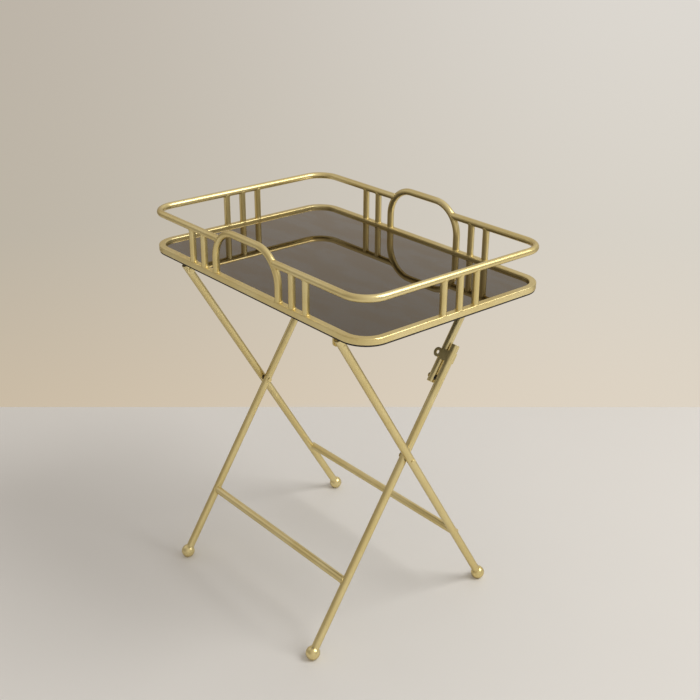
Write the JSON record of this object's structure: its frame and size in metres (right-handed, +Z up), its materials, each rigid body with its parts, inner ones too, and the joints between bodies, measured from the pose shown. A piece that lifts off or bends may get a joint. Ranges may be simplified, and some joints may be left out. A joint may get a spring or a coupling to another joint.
{
  "type": "folding tray table",
  "caption": "Gold folding side table: railed rectangular tray with two arched handles and a smoked mirror top, on crossed tube legs with ball feet, folding flat.",
  "frame": {"origin": "on the floor, under the middle of the outline of the open table", "axes": "+X along the long sides of the tray, +Y from the front side to the back side, +Z up"},
  "size_m": [0.5236, 0.3849, 0.6214],
  "materials": {
    "gold_metal": "satin champagne-gold lacquer over brushed steel",
    "smoked_mirror": "polished smoked mirror glass",
    "black_board": "matt black painted board",
    "black_screws": "blackened steel",
    "nylon_washer": "dark nylon"
  },
  "bodies": {
    "outer_frame": {"outer_leg_left": "gold_metal", "outer_leg_right": "gold_metal", "outer_foot_left": "gold_metal", "outer_foot_right": "gold_metal", "cross_rivet_left": "gold_metal", "cross_rivet_right": "gold_metal", "cross_washer_left": "nylon_washer", "cross_washer_right": "nylon_washer", "front_leg_rivet_left": "gold_metal", "front_leg_rivet_right": "gold_metal", "outer_stretcher": "gold_metal"},
    "inner_frame": {"inner_leg_left": "gold_metal", "inner_leg_right": "gold_metal", "inner_foot_left": "gold_metal", "inner_foot_right": "gold_metal", "knee_rivet_left": "gold_metal", "knee_rivet_right": "gold_metal", "knee_washer_left": "nylon_washer", "knee_washer_right": "nylon_washer", "inner_stretcher": "gold_metal"},
    "link_left": {"link_left": "gold_metal"},
    "link_right": {"link_right": "gold_metal"},
    "tray": {"tray_rim": "gold_metal", "upper_rail_left": "gold_metal", "upper_rail_right": "gold_metal", "handle_front": "gold_metal", "handle_back": "gold_metal", "mirror_glass": "smoked_mirror", "backing_board": "black_board", "board_screws": "black_screws", "lug_screws": "black_screws", "post_front_1": "gold_metal", "post_front_2": "gold_metal", "post_front_3": "gold_metal", "post_front_4": "gold_metal", "post_back_1": "gold_metal", "post_back_2": "gold_metal", "post_back_3": "gold_metal", "post_back_4": "gold_metal", "post_left_1": "gold_metal", "post_left_2": "gold_metal", "post_left_3": "gold_metal", "post_right_1": "gold_metal", "post_right_2": "gold_metal", "post_right_3": "gold_metal", "hinge_lug_front_left": "gold_metal", "hinge_lug_front_right": "gold_metal", "hinge_lug_back_left": "gold_metal", "hinge_lug_back_right": "gold_metal", "front_lug_rivet_left": "gold_metal", "front_lug_rivet_right": "gold_metal", "back_rivet_left": "gold_metal", "back_rivet_right": "gold_metal"},
    "clip_left": {"clip_left": "gold_metal"},
    "clip_right": {"clip_right": "gold_metal"}
  },
  "joints": [
    {"name": "frame_fold", "type": "hinge", "parent": "outer_frame", "child": "inner_frame", "pos_m": [0, -0.00359, 0.2863], "axis": [1, 0, 0], "range_deg": [0, 60.6]},
    {"name": "link_fold_left", "type": "hinge", "parent": "inner_frame", "child": "link_left", "pos_m": [-0.1595, 0.06563, 0.39391], "axis": [-1, 0, 0], "range_deg": [0, 169]},
    {"name": "link_fold_right", "type": "hinge", "parent": "inner_frame", "child": "link_right", "pos_m": [0.1595, 0.06563, 0.39391], "axis": [-1, 0, 0], "range_deg": [0, 169]},
    {"name": "tray_fold", "type": "hinge", "parent": "link_right", "child": "tray", "pos_m": [0, 0.14417, 0.516], "axis": [1, 0, 0], "range_deg": [0, 54.59]},
    {"name": "clip_swing_left", "type": "hinge", "parent": "inner_frame", "child": "clip_left", "pos_m": [-0.1745, 0.08546, 0.42473], "axis": [0, -0.541, -0.841], "range_deg": [0, 90]},
    {"name": "clip_swing_right", "type": "hinge", "parent": "inner_frame", "child": "clip_right", "pos_m": [0.1745, 0.08546, 0.42473], "axis": [0, 0.541, 0.841], "range_deg": [0, 90]}
  ],
  "couplings": [
    {"joint": "link_fold_left", "follows": "frame_fold", "ratio": 2.7886},
    {"joint": "link_fold_right", "follows": "frame_fold", "ratio": 2.7886},
    {"joint": "tray_fold", "follows": "frame_fold", "ratio": 0.90072}
  ]
}
